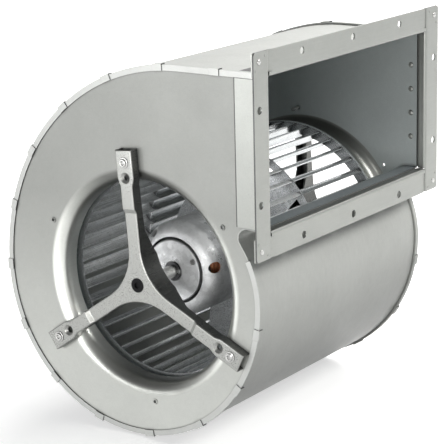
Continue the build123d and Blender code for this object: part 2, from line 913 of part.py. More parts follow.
def make_all():
    plate = make_side_plate()
    upright = make_upright()
    bracket = make_bracket()
    screws = make_bracket_screws()
    bush = make_bush()
    blades = make_blades()
    end_ring = make_end_ring()
    bottom_plane = Plane((0, flange_middle, 0), z_dir=(0, 1, 0))
    save(make_wrap(), "scroll_wrap")
    save(plate, "near_side_plate")
    save(to_far_side(plate), "far_side_plate")
    save(upright, "near_flange_angle")
    save(to_far_side(upright), "far_flange_angle")
    save(make_cross_bar(leg_reach), "top_flange_angle")
    save(mirror(make_cross_bar(floor_leg_reach), about=bottom_plane), "bottom_flange_angle")
    save(Compound(make_corner_rivets()), "corner_rivets")
    save(Compound(make_leg_rivets()), "leg_rivets")
    save(bracket, "near_bracket")
    save(to_far_side(bracket), "far_bracket")
    save(Compound(screws), "near_bracket_screws")
    save(Compound([to_far_side(screw) for screw in screws]), "far_bracket_screws")
    save(bush, "near_bush")
    save(to_far_side(bush), "far_bush")
    save(make_axle(), "axle")
    save(Compound(make_axle_clips()), "axle_clips")
    save(Compound(make_bearing_inner_rings()), "bearing_inner_rings")
    save(Compound(make_bearing_outer_rings()), "bearing_outer_rings")
    save(Compound(make_bearing_balls()), "bearing_balls")
    save(make_bearing_spacer(), "bearing_spacer")
    save(make_stator_sleeve(), "stator_sleeve")
    save(make_stator_core(), "stator_core")
    save(make_windings(), "stator_windings")
    save(make_end_plate(), "stator_end_plate")
    save(Compound(make_end_plate_pegs()), "end_plate_pegs")
    save(make_rotor_dome(), "rotor_dome")
    save(make_rotor_cup(), "rotor_cup")
    save(make_rotor_cage(), "rotor_cage")
    save(make_mid_disc(), "wheel_disc")
    save(Compound(make_hub_screws()), "hub_screws")
    save(Compound(blades), "near_blades")
    save(Compound([to_far_side(blade) for blade in blades]), "far_blades")
    save(end_ring, "near_end_ring")
    save(to_far_side(end_ring), "far_end_ring")


os.makedirs("parts", exist_ok=True)
make_all()
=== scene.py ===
import bpy
from math import cos, radians, sin
from mathutils import Matrix, Vector


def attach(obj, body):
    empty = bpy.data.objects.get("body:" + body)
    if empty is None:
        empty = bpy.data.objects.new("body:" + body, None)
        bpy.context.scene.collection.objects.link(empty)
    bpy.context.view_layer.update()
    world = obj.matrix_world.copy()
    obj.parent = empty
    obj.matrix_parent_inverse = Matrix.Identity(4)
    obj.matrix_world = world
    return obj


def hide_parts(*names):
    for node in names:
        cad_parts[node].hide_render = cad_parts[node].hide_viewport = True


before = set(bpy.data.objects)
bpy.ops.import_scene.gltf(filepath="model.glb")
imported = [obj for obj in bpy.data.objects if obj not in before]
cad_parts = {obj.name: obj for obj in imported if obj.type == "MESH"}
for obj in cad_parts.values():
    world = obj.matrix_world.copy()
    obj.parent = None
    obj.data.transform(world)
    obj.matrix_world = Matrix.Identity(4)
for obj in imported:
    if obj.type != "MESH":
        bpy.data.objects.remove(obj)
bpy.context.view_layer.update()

fan = {"x": -0.1397, "z": -0.13395}  # the fan axis runs along Y


def deselectAll():
    if bpy.context.object and bpy.context.object.mode != "OBJECT":
        bpy.ops.object.mode_set(mode="OBJECT")
    bpy.ops.object.select_all(action="DESELECT")


def takeUp(piece):
    deselectAll()
    piece.select_set(True)
    bpy.context.view_layer.objects.active = piece


def applyPlace(piece):
    takeUp(piece)
    bpy.ops.object.transform_apply(location=True, rotation=True, scale=True)


def applyModifiers(piece):
    takeUp(piece)
    for modifier in list(piece.modifiers):
        bpy.ops.object.modifier_apply(modifier=modifier.name)


def smooth(piece, angle):
    takeUp(piece)
    bpy.ops.object.shade_smooth_by_angle(angle=radians(angle))


def wear(piece, material):
    piece.data.materials.clear()
    piece.data.materials.append(material)


def coat(nodeName, material):
    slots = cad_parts[nodeName].material_slots
    for index in range(len(slots)):
        slots[index].material = material


def newGroup(name, inputs, outputs):
    group = bpy.data.node_groups.new(name, "ShaderNodeTree")
    for label, kind, value in inputs:
        socket = group.interface.new_socket(name=label, in_out="INPUT", socket_type=kind)
        if value is not None:
            socket.default_value = value
    for label, kind in outputs:
        group.interface.new_socket(name=label, in_out="OUTPUT", socket_type=kind)
    return group


def add(tree, kind, **settings):
    node = tree.nodes.new("ShaderNode" + kind if not kind.startswith("Node") else kind)
    for key, value in settings.items():
        setattr(node, key, value)
    return node


def feed(tree, source, target):
    tree.links.new(source, target)


def sums(tree, operation, first, second):
    node = add(tree, "Math", operation=operation)
    for socket, value in zip(node.inputs, (first, second)):
        if hasattr(value, "links"):
            feed(tree, value, socket)
        else:
            socket.default_value = value
    return node.outputs[0]


noiseRough = 0.55


def noise(tree, place, scale, detail):
    node = add(tree, "TexNoise")
    node.inputs["Scale"].default_value = scale
    node.inputs["Detail"].default_value = detail
    node.inputs["Roughness"].default_value = noiseRough
    feed(tree, place, node.inputs["Vector"])
    return node.outputs["Fac"]


def spread(tree, value, low, high, toLow, toHigh):
    node = add(tree, "MapRange")
    feed(tree, value, node.inputs["Value"])
    for label, number in (("From Min", low), ("From Max", high), ("To Min", toLow), ("To Max", toHigh)):
        node.inputs[label].default_value = number
    return node.outputs["Result"]


def scaled(tree, place, factors):
    node = add(tree, "Mapping")
    node.inputs["Scale"].default_value = factors
    feed(tree, place, node.inputs["Vector"])
    return node.outputs["Vector"]


def tinted(tree, colour, factor):
    node = add(tree, "Mix", data_type="RGBA", blend_type="MULTIPLY")
    node.inputs["Factor"].default_value = 1.0
    feed(tree, colour, node.inputs["A"])
    feed(tree, factor, node.inputs["B"])
    return node.outputs["Result"]


zincGrain = {"streakAcross": 1300.0, "streakAlong": 26.0, "cloud": 22.0, "grain": 1500.0, "crystal": 240.0,
             "spangle": 0.6, "fine": 0.05, "roughShift": -0.9}


def buildRolledZinc():
    group = newGroup(
        "rolledZinc",
        [("Place", "NodeSocketVector", None), ("Tone", "NodeSocketColor", (0.5, 0.5, 0.5, 1)),
         ("Streaks", "NodeSocketFloat", 0.05), ("Mottle", "NodeSocketFloat", 0.05),
         ("Shine", "NodeSocketFloat", 0.4)],
        [("Colour", "NodeSocketColor"), ("Roughness", "NodeSocketFloat"), ("Height", "NodeSocketFloat")],
    )
    start = add(group, "NodeGroupInput")
    end = add(group, "NodeGroupOutput")
    place = start.outputs["Place"]
    stretch = (zincGrain["streakAcross"], zincGrain["streakAlong"], zincGrain["streakAcross"])
    streak = noise(group, scaled(group, place, stretch), 1.0, 2.0)
    cloud = noise(group, place, zincGrain["cloud"], 4.0)
    grain = noise(group, place, zincGrain["grain"], 1.0)
    crystal = add(group, "TexVoronoi")
    crystal.inputs["Scale"].default_value = zincGrain["crystal"]
    feed(group, place, crystal.inputs["Vector"])
    spangle = spread(group, crystal.outputs["Color"], 0.0, 1.0, -0.5, 0.5)
    amount = sums(group, "MULTIPLY", spread(group, streak, 0.25, 0.75, -0.5, 0.5), start.outputs["Streaks"])
    spangle = sums(group, "MULTIPLY", spangle, zincGrain["spangle"])
    patch = sums(group, "ADD", spread(group, cloud, 0.3, 0.7, -0.5, 0.5), spangle)
    patch = sums(group, "MULTIPLY", patch, start.outputs["Mottle"])
    fine = sums(group, "MULTIPLY", spread(group, grain, 0.3, 0.7, -0.5, 0.5), zincGrain["fine"])
    total = sums(group, "ADD", sums(group, "ADD", amount, patch), fine)
    bright = sums(group, "ADD", total, 1.0)
    feed(group, tinted(group, start.outputs["Tone"], bright), end.inputs["Colour"])
    shift = sums(group, "MULTIPLY", total, zincGrain["roughShift"])
    feed(group, sums(group, "ADD", start.outputs["Shine"], shift), end.inputs["Roughness"])
    height = sums(group, "ADD", sums(group, "MULTIPLY", grain, 0.5), sums(group, "MULTIPLY", streak, 0.5))
    feed(group, height, end.inputs["Height"])
    return group


sheetPerRadian = 0.12  # metres, so that streaks keep their size round the scroll


def buildRoundAxis():
    group = newGroup("roundTheAxis", [], [("Place", "NodeSocketVector"), ("Radius", "NodeSocketFloat")])
    end = add(group, "NodeGroupOutput")
    here = add(group, "TexCoord").outputs["Object"]
    parts = add(group, "SeparateXYZ")
    feed(group, here, parts.inputs[0])
    across = sums(group, "SUBTRACT", parts.outputs["X"], fan["x"])
    up = sums(group, "SUBTRACT", parts.outputs["Z"], fan["z"])
    angle = sums(group, "ARCTAN2", up, across)
    squares = sums(group, "ADD", sums(group, "MULTIPLY", across, across), sums(group, "MULTIPLY", up, up))
    radius = sums(group, "SQRT", squares, 0.0)
    joined = add(group, "CombineXYZ")
    feed(group, radius, joined.inputs["X"])
    feed(group, sums(group, "MULTIPLY", angle, sheetPerRadian), joined.inputs["Y"])
    feed(group, parts.outputs["Y"], joined.inputs["Z"])
    feed(group, joined.outputs[0], end.inputs["Place"])
    feed(group, radius, end.inputs["Radius"])
    return group


# shut and open say how sheltered a place is before painted shade darkens it, the depth and reach here what
# most finishes have
crevice = {"samples": 16, "shut": 0.25, "open": 0.92, "creaseShade": 0.55, "reach": 0.005}


# painted shade: the colour is darkened where ambient occlusion finds a crease or a gap between parts
def buildCreviceShade():
    group = newGroup(
        "creviceShade",
        [("Colour", "NodeSocketColor", (0.5, 0.5, 0.5, 1)), ("Depth", "NodeSocketFloat", 0.5),
         ("Reach", "NodeSocketFloat", 0.005)],
        [("Colour", "NodeSocketColor")],
    )
    start = add(group, "NodeGroupInput")
    end = add(group, "NodeGroupOutput")
    shelter = add(group, "AmbientOcclusion", samples=crevice["samples"])
    feed(group, start.outputs["Reach"], shelter.inputs["Distance"])
    clear = spread(group, shelter.outputs["AO"], crevice["shut"], crevice["open"], 0.0, 1.0)
    closed = sums(group, "SUBTRACT", 1.0, clear)
    kept = sums(group, "SUBTRACT", 1.0, sums(group, "MULTIPLY", closed, start.outputs["Depth"]))
    feed(group, tinted(group, start.outputs["Colour"], kept), end.inputs["Colour"])
    return group


groups = {"zinc": buildRolledZinc(), "axis": buildRoundAxis(), "creaseShade": buildCreviceShade()}


def principled(name, metallic, specular):
    material = bpy.data.materials.new(name)
    material.use_nodes = True
    tree = material.node_tree
    shader = tree.nodes["Principled BSDF"]
    shader.inputs["Metallic"].default_value = metallic
    shader.inputs["Specular IOR Level"].default_value = specular
    return material, tree, shader


def bumped(tree, shader, height, distance):
    bump = add(tree, "Bump")
    bump.inputs["Distance"].default_value = distance
    feed(tree, height, bump.inputs["Height"])
    feed(tree, bump.outputs[0], shader.inputs["Normal"])


def parted(tree, label):
    parts = add(tree, "SeparateXYZ")
    feed(tree, add(tree, "TexCoord").outputs[label], parts.inputs[0])
    return parts.outputs


def sizeOf(tree, value):
    return sums(tree, "ABSOLUTE", value, 0.0)


def tintedWhere(tree, colour, amount, shade):
    mix = add(tree, "Mix", data_type="RGBA", blend_type="MULTIPLY")
    feed(tree, amount, mix.inputs["Factor"])
    feed(tree, colour, mix.inputs["A"])
    mix.inputs["B"].default_value = (*shade, 1)
    return mix.outputs["Result"]


def axisRadius(tree):
    return add(tree, "Group", node_tree=groups["axis"]).outputs["Radius"]


def paintHeightLight(tree, colour, look):  # painted light and shade: the sheet is painted lighter or darker from low to high, standing in for how the light falls on it
    heightLight = look["heightLight"]
    height = parted(tree, "Object")["Z"]
    tone = spread(tree, height, heightLight["low"], heightLight["high"], heightLight["lowTone"], heightLight["highTone"])
    if "roof" in heightLight:
        roof = spread(tree, height, heightLight["shoulder"], heightLight["roof"], heightLight["highTone"], 1.0)
        tone = sums(tree, "MINIMUM", tone, roof)
    return tinted(tree, colour, tone)


def paintDuctShade(tree, colour, look):  # painted shade: the outlet's floor and roof are painted darker and cooler inside
    duct = look["duct"]
    place = parted(tree, "Object")
    between = sums(tree, "LESS_THAN", sizeOf(tree, place["Z"]), duct["halfHeight"])
    forward = spread(tree, place["X"], duct["deep"], duct["front"], 0.0, 1.0)
    return tintedWhere(tree, colour, sums(tree, "MULTIPLY", between, forward), duct["shade"])


def paintLegShadow(tree, colour, look):  # painted shadow: a dark line on the plate where the flange's leg ends
    line = look["legShadow"]
    place = parted(tree, "Object")
    along = sizeOf(tree, sums(tree, "SUBTRACT", place["X"], line["back"]))
    clear = spread(tree, along, line["half"], line["half"] * 2, line["tone"], 1.0)
    past = sums(tree, "GREATER_THAN", sizeOf(tree, place["Z"]), line["reach"])
    inner = sums(tree, "LESS_THAN", sizeOf(tree, place["Y"]), line["outside"])
    return tinted(tree, colour, sums(tree, "MAXIMUM", clear, sums(tree, "MAXIMUM", past, inner)))


def paintInsideLight(tree, colour, look):  # painted light: the plate's inner face is painted lighter and bluer, standing in for the light inside the housing, apart from the inlet
    inward = look["inward"]
    inner = sums(tree, "LESS_THAN", sizeOf(tree, parted(tree, "Object")["Y"]), inward["outside"])
    flat = sums(tree, "GREATER_THAN", axisRadius(tree), look["bell"]["edge"])
    return tintedWhere(tree, colour, sums(tree, "MULTIPLY", inner, flat), inward["shade"])


def paintLiningShade(tree, colour, look):  # painted shade: faces that look up or down inside the outlet are painted darker
    lining = look["lining"]
    past = sums(tree, "GREATER_THAN", sizeOf(tree, parted(tree, "Object")["Z"]), lining["halfHeight"])
    facing = sizeOf(tree, parted(tree, "Normal")["Z"])
    flat = spread(tree, facing, lining["upright"], lining["flat"], 1.0, lining["tone"])
    return tinted(tree, colour, sums(tree, "MAXIMUM", flat, past))


def paintWallShade(tree, colour, look):  # painted shade: the bent side walls are painted darker than the web
    walls = look["walls"]
    facing = sizeOf(tree, parted(tree, "Normal")["Y"])
    return tinted(tree, colour, spread(tree, facing, walls["edgeOn"], walls["square"], walls["tone"], 1.0))


touches = {"heightLight": paintHeightLight, "duct": paintDuctShade, "legShadow": paintLegShadow, "inward": paintInsideLight,
           "lining": paintLiningShade, "walls": paintWallShade}


# the drawn inlet is smoother than the flat sheet; a painted highlight makes it brighter at its sides and
# painted shade darker at its top and bottom
def polishBellAndPaintGlint(tree, shader, colour, rough, look):
    bell = look["bell"]
    low, high = bell["edge"] - bell["blendIn"], bell["edge"] + bell["blendOut"]
    drawn = spread(tree, axisRadius(tree), low, high, 1.0, 0.0)
    smoother = sums(tree, "SUBTRACT", rough, sums(tree, "MULTIPLY", drawn, bell["smoother"]))
    metal = sums(tree, "MULTIPLY", drawn, bell["metallic"] - look["metallic"])
    feed(tree, sums(tree, "ADD", metal, look["metallic"]), shader.inputs["Metallic"])
    above = sizeOf(tree, sums(tree, "SUBTRACT", parted(tree, "Object")["Z"], fan["z"]))
    paintedGlintAndShade = spread(tree, above, bell["sideHalf"], bell["topFrom"], bell["sideTone"], bell["topTone"])
    gain = sums(tree, "MULTIPLY", drawn, sums(tree, "SUBTRACT", paintedGlintAndShade, 1.0))
    return tinted(tree, colour, sums(tree, "ADD", gain, 1.0)), smoother


def zincMaterial(name, look):
    material, tree, shader = principled(name, look["metallic"], look.get("specular", 0.5))
    skin = add(tree, "Group", node_tree=groups["zinc"])
    if look.get("wrapped"):
        place = add(tree, "Group", node_tree=groups["axis"]).outputs["Place"]
    else:
        place = add(tree, "TexCoord").outputs["Object"]
    feed(tree, place, skin.inputs["Place"])
    skin.inputs["Tone"].default_value = (*look["tone"], 1)
    for label in ("Streaks", "Mottle", "Shine"):
        skin.inputs[label].default_value = look[label.lower()]
    # painted shade in creases and between parts
    creaseShade = add(tree, "Group", node_tree=groups["creaseShade"])
    creaseShade.inputs["Depth"].default_value = look.get("creaseShade", crevice["creaseShade"])
    creaseShade.inputs["Reach"].default_value = look.get("reach", crevice["reach"])
    feed(tree, skin.outputs["Colour"], creaseShade.inputs["Colour"])
    colour = creaseShade.outputs["Colour"]
    for key, touch in touches.items():
        if key in look:
            colour = touch(tree, colour, look)
    rough = skin.outputs["Roughness"]
    if "bell" in look:
        colour, rough = polishBellAndPaintGlint(tree, shader, colour, rough, look)
    feed(tree, colour, shader.inputs["Base Color"])
    feed(tree, rough, shader.inputs["Roughness"])
    bumped(tree, shader, skin.outputs["Height"], look["bump"])
    return material


# shine is the roughness; the crease depth and reach say how dark the painted crease shade is and how far it
# spreads
looks = {
    "plate": {"tone": (0.49, 0.50, 0.475), "metallic": 0.2, "shine": 0.40, "streaks": 0.05, "mottle": 0.06,
              "bump": 0.00002, "creaseShade": 0.85, "reach": 0.004,
              "heightLight": {"low": -0.26, "high": -0.06, "lowTone": 1.45, "highTone": 0.76},
              "bell": {"edge": 0.1064, "blendIn": 0.003, "blendOut": 0.001, "smoother": 0.06,
                       "metallic": 0.85, "sideHalf": 0.045, "topFrom": 0.095,
                       "sideTone": 1.6, "topTone": 0.42},
              "legShadow": {"back": -0.0332, "half": 0.0005, "reach": 0.0665, "outside": 0.1390,
                          "tone": 0.15},
              "inward": {"outside": 0.1390, "shade": (1.45, 1.54, 1.62)}},
    "wrap": {"tone": (0.51, 0.52, 0.50), "metallic": 0.05, "specular": 0.2, "shine": 0.38, "streaks": 0.06,
             "mottle": 0.06, "bump": 0.00002, "wrapped": True, "creaseShade": 0.85, "reach": 0.003,
             "heightLight": {"low": -0.26, "high": -0.12, "lowTone": 0.72, "highTone": 1.25,
                      "shoulder": -0.06, "roof": -0.02},
             "duct": {"halfHeight": 0.0673, "deep": -0.10, "front": -0.05, "shade": (0.30, 0.33, 0.36)}},
    # painted highlight: a lighter copy of the wrap's sheet, standing in for the light the rolled rim
    # catches
    "seam": {"tone": (0.66, 0.67, 0.65), "metallic": 0.2, "shine": 0.36, "streaks": 0.06, "mottle": 0.06,
             "bump": 0.00002, "wrapped": True, "creaseShade": 0.85, "reach": 0.002},
    "angle": {"tone": (0.37, 0.38, 0.36), "metallic": 0.45, "shine": 0.34, "streaks": 0.06, "mottle": 0.05,
              "bump": 0.00002, "creaseShade": 0.8,
              "lining": {"halfHeight": 0.0690, "upright": 0.5, "flat": 0.9, "tone": 0.35}},
    # painted shade: a dark copy of the sheet put on edge faces to draw shade lines along them
    "edgeShade": {"tone": (0.10, 0.10, 0.10), "metallic": 0.5, "shine": 0.50, "streaks": 0.06, "mottle": 0.15,
                "bump": 0.00003},
    "bracket": {"tone": (0.355, 0.36, 0.345), "metallic": 0.7, "shine": 0.29, "streaks": 0.05,
                "mottle": 0.02, "bump": 0.00002, "creaseShade": 0.85,
                "walls": {"edgeOn": 0.15, "square": 0.75, "tone": 0.38}},
    "wheel": {"tone": (0.64, 0.66, 0.67), "metallic": 0.8, "shine": 0.24, "streaks": 0.10, "mottle": 0.05,
              "bump": 0.00002, "creaseShade": 0.9, "reach": 0.012},
    "disc": {"tone": (0.42, 0.435, 0.445), "metallic": 0.7, "shine": 0.28, "streaks": 0.10, "mottle": 0.05,
             "bump": 0.00002, "creaseShade": 0.9, "reach": 0.012},
    # painted light: the near blades are a lighter, less metallic copy of the far blades' sheet, standing in
    # for the light falling on them
    "nearBladeLit": {"tone": (0.78, 0.80, 0.81), "metallic": 0.35, "shine": 0.28, "streaks": 0.10,
                  "mottle": 0.05, "bump": 0.00002, "creaseShade": 0.7, "reach": 0.007},
    "fastener": {"tone": (0.52, 0.52, 0.51), "metallic": 0.85, "shine": 0.28, "streaks": 0.03,
                 "mottle": 0.08, "bump": 0.00001, "creaseShade": 1.0, "reach": 0.002},
    "ground": {"tone": (0.66, 0.66, 0.64), "metallic": 1.0, "shine": 0.24, "streaks": 0.08, "mottle": 0.02,
               "bump": 0.00001},
    "dark": {"tone": (0.12, 0.12, 0.125), "metallic": 0.8, "shine": 0.45, "streaks": 0.1, "mottle": 0.05,
             "bump": 0.00002},
    "cast": {"tone": (0.66, 0.67, 0.68), "metallic": 0.6, "shine": 0.40, "streaks": 0.0, "mottle": 0.35,
             "bump": 0.0006},
    "copper": {"tone": (0.62, 0.24, 0.12), "metallic": 0.6, "shine": 0.30, "streaks": 0.2, "mottle": 0.2,
               "bump": 0.0001, "creaseShade": 0.8},
    "cover": {"tone": (0.03, 0.03, 0.032), "metallic": 0.0, "shine": 0.6, "streaks": 0.05, "mottle": 0.2,
              "bump": 0.00004},
    "rubber": {"tone": (0.010, 0.010, 0.011), "metallic": 0.0, "specular": 0.1, "shine": 0.60,
               "streaks": 0.05, "mottle": 0.2, "bump": 0.00004, "creaseShade": 0.3},
}
finish = {name: zincMaterial(name, look) for name, look in looks.items()}
print("materials made:", len(finish))

nodeFinish = {
    "plate": ["near_side_plate", "far_side_plate"],
    "wrap": ["scroll_wrap"],
    "angle": ["near_flange_angle", "far_flange_angle", "top_flange_angle", "bottom_flange_angle",
              "leg_rivets"],
    "bracket": ["near_bracket", "far_bracket"],
    "fastener": ["corner_rivets", "near_bracket_screws", "far_bracket_screws", "end_plate_pegs",
                 "hub_screws"],
    "rubber": ["near_bush", "far_bush"],
    "ground": ["axle", "bearing_inner_rings", "bearing_outer_rings", "bearing_balls", "bearing_spacer",
               "stator_sleeve"],
    "dark": ["axle_clips", "stator_core", "rotor_cage"],
    "copper": ["stator_windings"],
    "cast": ["stator_end_plate", "rotor_dome", "rotor_cup"],
    "nearBladeLit": ["near_blades"],
    "disc": ["wheel_disc"],
    "wheel": ["far_blades", "near_end_ring", "far_end_ring"],
}
for look, members in nodeFinish.items():
    for member in members:
        coat(member, finish[look])
print("nodes coated")


softEdge = {"merge": 0.00001, "flat": 0.5, "sharp": 38, "smooth": 48, "segments": 2}


def nodeCopy(nodeName, pieceName):
    piece = bpy.data.objects.new(pieceName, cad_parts[nodeName].data.copy())
    bpy.context.scene.collection.objects.link(piece)
    takeUp(piece)
    bpy.ops.object.mode_set(mode="EDIT")
    bpy.ops.mesh.select_all(action="SELECT")
    bpy.ops.mesh.remove_doubles(threshold=softEdge["merge"])
    bpy.ops.mesh.dissolve_limited(angle_limit=radians(softEdge["flat"]))
    bpy.ops.object.mode_set(mode="OBJECT")
    bpy.ops.mesh.customdata_custom_splitnormals_clear()
    return piece


def roundEdges(piece, width, sharp=softEdge["sharp"]):
    bevel = piece.modifiers.new("edge", "BEVEL")
    bevel.width = width
    bevel.segments = softEdge["segments"]
    bevel.limit_method = "ANGLE"
    bevel.angle_limit = radians(sharp)
    bevel.use_clamp_overlap = True
    applyModifiers(piece)
    smooth(piece, softEdge["smooth"])
    even = piece.modifiers.new("evenNormals", "WEIGHTED_NORMAL")
    even.keep_sharp = True
    applyModifiers(piece)


softEdged = {  # node: (name of the piece, edge width, body it rides on)
    "near_flange_angle": ("nearUpright", 0.0006, "housing"),
    "far_flange_angle": ("farUpright", 0.0006, "housing"),
    "top_flange_angle": ("topBar", 0.0006, "housing"),
    "bottom_flange_angle": ("bottomBar", 0.0006, "housing"),
    "near_bracket": ("nearBracket", 0.0004, "housing"),
    "far_bracket": ("farBracket", 0.0004, "housing"),
    "scroll_wrap": ("scrollSheet", 0.0003, "housing"),
    "rotor_dome": ("rotorDome", 0.0005, "wheel"),
    "axle": ("axleRod", 0.0006, "housing"),
}


endOn = 0.9  # a face whose normal has this much of an axis looks along it


def pickFaces(piece, test):
    bpy.ops.object.mode_set(mode="OBJECT")
    for face in piece.data.polygons:
        face.select = test(face)
    bpy.ops.object.mode_set(mode="EDIT")


edgeShade = {"edgeOn": 0.35, "square": 0.9, "flangeBack": -0.0016, "sideRim": 0.1578, "topRim": 0.0893,
           "legEnd": -0.015, "legSide": -0.0125}


def isCutEdge(face):  # the flange's outer rim and the ends of its legs
    place, facing = face.center, face.normal
    if abs(facing.x) < edgeShade["edgeOn"] and place.x > edgeShade["flangeBack"]:
        return abs(place.y) > edgeShade["sideRim"] or abs(place.z) > edgeShade["topRim"]
    legEnd = facing.x < -edgeShade["square"] and place.x < edgeShade["legEnd"]
    legSide = abs(facing.z) > edgeShade["square"] and place.x < edgeShade["legSide"]
    return legEnd or legSide


seam = {"step": 0.1392, "front": 0.1398, "edgeOn": 0.5, "square": 0.9, "outward": 0.6}


def isSeamStep(face):  # the sides of the seam and of its crimps, but not the scroll's outside
    place, facing = face.center, face.normal
    if abs(place.y) < seam["step"] or abs(facing.y) > seam["edgeOn"]:
        return False
    out = Vector((place.x - fan["x"], 0, place.z - fan["z"])).normalized()
    return facing.dot(out) < seam["outward"]


def isSeamFront(face):
    return abs(face.center.y) > seam["front"] and abs(face.normal.y) > seam["square"]


def wearWhere(piece, material, test):
    piece.data.materials.append(material)
    for face in piece.data.polygons:
        if test(face):
            face.material_index = len(piece.data.materials) - 1


def makeSoftEdged():
    for nodeName, (pieceName, width, body) in softEdged.items():
        piece = nodeCopy(nodeName, pieceName)
        if pieceName.endswith(("Upright", "Bar")):
            # painted shade lines on the flange's rim edges and leg ends
            wearWhere(piece, finish["edgeShade"], isCutEdge)
        if pieceName == "scrollSheet":
            # painted shade lines on the sides of the seam and its crimps
            wearWhere(piece, finish["edgeShade"], isSeamStep)
            # painted highlight on the seam's front faces
            wearWhere(piece, finish["seam"], isSeamFront)
        roundEdges(piece, width)
        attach(piece, body)
        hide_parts(nodeName)
        print("edges rounded:", pieceName, len(piece.data.polygons))


makeSoftEdged()

screw = {"arms": 3, "circle": 0.1135, "turn": 94.4, "seat": 0.1490, "sides": 36, "washer": 0.0049,
         "washerHeight": 0.0008, "ledge": 0.0011, "capHeight": 0.0016, "capTop": 0.86, "rim": 0.0013,
         "socketDepth": 0.0013, "socketTaper": 0.75, "shank": 0.0019, "length": 0.0215, "edge": 0.00022,
         "sharp": 35}


def makeScrew(name):
    deselectAll()
    bpy.ops.mesh.primitive_cylinder_add(
        vertices=screw["sides"], radius=screw["washer"], depth=screw["washerHeight"],
        location=(0, 0, screw["washerHeight"] / 2))
    piece = bpy.context.object
    piece.name = name
    applyPlace(piece)
    bpy.ops.object.mode_set(mode="EDIT")
    bpy.ops.mesh.select_mode(type="FACE")
    pickFaces(piece, lambda face: face.normal.z > endOn)
    bpy.ops.mesh.inset(thickness=screw["ledge"], depth=0)
    bpy.ops.mesh.extrude_region_move(TRANSFORM_OT_translate={"value": (0, 0, screw["capHeight"])})
    bpy.ops.transform.resize(value=(screw["capTop"], screw["capTop"], 1))
    bpy.ops.mesh.inset(thickness=screw["rim"], depth=0)
    bpy.ops.mesh.extrude_region_move(TRANSFORM_OT_translate={"value": (0, 0, -screw["socketDepth"])})
    bpy.ops.transform.resize(value=(screw["socketTaper"], screw["socketTaper"], 1))
    pickFaces(piece, lambda face: face.normal.z < -endOn)
    bpy.ops.mesh.inset(thickness=screw["washer"] - screw["shank"], depth=0)
    bpy.ops.mesh.extrude_region_move(TRANSFORM_OT_translate={"value": (0, 0, -screw["length"])})
    bpy.ops.object.mode_set(mode="OBJECT")
    roundEdges(piece, screw["edge"], screw["sharp"])
    return piece


def makeScrews(side, nodeName, pieceName):
    first = makeScrew(pieceName)
    pieces = [first]
    for index in range(screw["arms"] - 1):
        twin = first.copy()
        twin.data = first.data.copy()
        bpy.context.scene.collection.objects.link(twin)
        pieces.append(twin)
    for index, piece in enumerate(pieces):
        turn = radians(screw["turn"] + 360 / screw["arms"] * index)
        piece.rotation_euler = (radians(90) if side < 0 else radians(-90), 0, 0)
        piece.location = (fan["x"] + screw["circle"] * cos(turn), side * screw["seat"],
                          fan["z"] + screw["circle"] * sin(turn))
        applyPlace(piece)
    deselectAll()
    for piece in pieces:
        piece.select_set(True)
    bpy.context.view_layer.objects.active = first
    bpy.ops.object.join()
    wear(first, finish["fastener"])
    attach(first, "housing")
    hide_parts(nodeName)


makeScrews(-1, "near_bracket_screws", "nearScrews")
makeScrews(1, "far_bracket_screws", "farScrews")
print("screws made")

wire = {"turns": 10, "rows": 8, "thick": 0.0008, "outer": 0.0340, "front": 0.0790, "pitch": 0.00150,
        "firstBack": 0.0020, "firstIn": 0.0018, "tilt": 1.3, "tiltStep": 2.4, "swingStep": 1.7,
        "sides": 96, "round": 6, "smooth": 80}


def makeWireTurns():
    pieces = []
    spots = [(wire["outer"], wire["front"] - wire["firstBack"] - wire["pitch"] * row)
             for row in range(wire["turns"])]
    spots += [(wire["outer"] - wire["firstIn"] - wire["pitch"] * row, wire["front"])
              for row in range(wire["rows"])]
    for index, (radius, out) in enumerate(spots):
        deselectAll()
        tilt = wire["tilt"] * sin(index * wire["tiltStep"])
        swing = wire["tilt"] * cos(index * wire["swingStep"])
        bpy.ops.mesh.primitive_torus_add(
            location=(fan["x"], -out, fan["z"]), major_radius=radius, minor_radius=wire["thick"],
            major_segments=wire["sides"], minor_segments=wire["round"],
            rotation=(radians(90 + tilt), 0, radians(swing)))
        piece = bpy.context.object
        applyPlace(piece)
        pieces.append(piece)
    deselectAll()
    for piece in pieces:
        piece.select_set(True)
    bpy.context.view_layer.objects.active = pieces[0]
    bpy.ops.object.join()
    turns = bpy.context.object
    turns.name = "wireTurns"
    smooth(turns, wire["smooth"])
    wear(turns, finish["copper"])
    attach(turns, "housing")
    print("wire turns:", len(turns.data.polygons))


makeWireTurns()

coilCover = {"outer": 0.0345, "inner": 0.0200, "low": 0.0800, "thick": 0.0009, "sides": 72, "edge": 0.0002}


def makeCoilCover():
    deselectAll()
    bpy.ops.mesh.primitive_cylinder_add(
        vertices=coilCover["sides"], radius=coilCover["outer"], depth=coilCover["thick"],
        rotation=(radians(90), 0, 0),
        location=(fan["x"], -coilCover["low"] - coilCover["thick"] / 2, fan["z"]))
    ring = bpy.context.object
    ring.name = "coilCover"
    applyPlace(ring)
    bpy.ops.object.mode_set(mode="EDIT")
    bpy.ops.mesh.select_mode(type="FACE")
    pickFaces(ring, lambda face: abs(face.normal.y) > endOn)
    bpy.ops.mesh.inset(thickness=coilCover["outer"] - coilCover["inner"], depth=0, use_individual=True)
    pickFaces(ring, lambda face: abs(face.normal.y) > endOn and len(face.vertices) > 4)
    bpy.ops.mesh.bridge_edge_loops()
    bpy.ops.object.mode_set(mode="OBJECT")
    roundEdges(ring, coilCover["edge"])
    wear(ring, finish["cover"])
    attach(ring, "housing")


makeCoilCover()

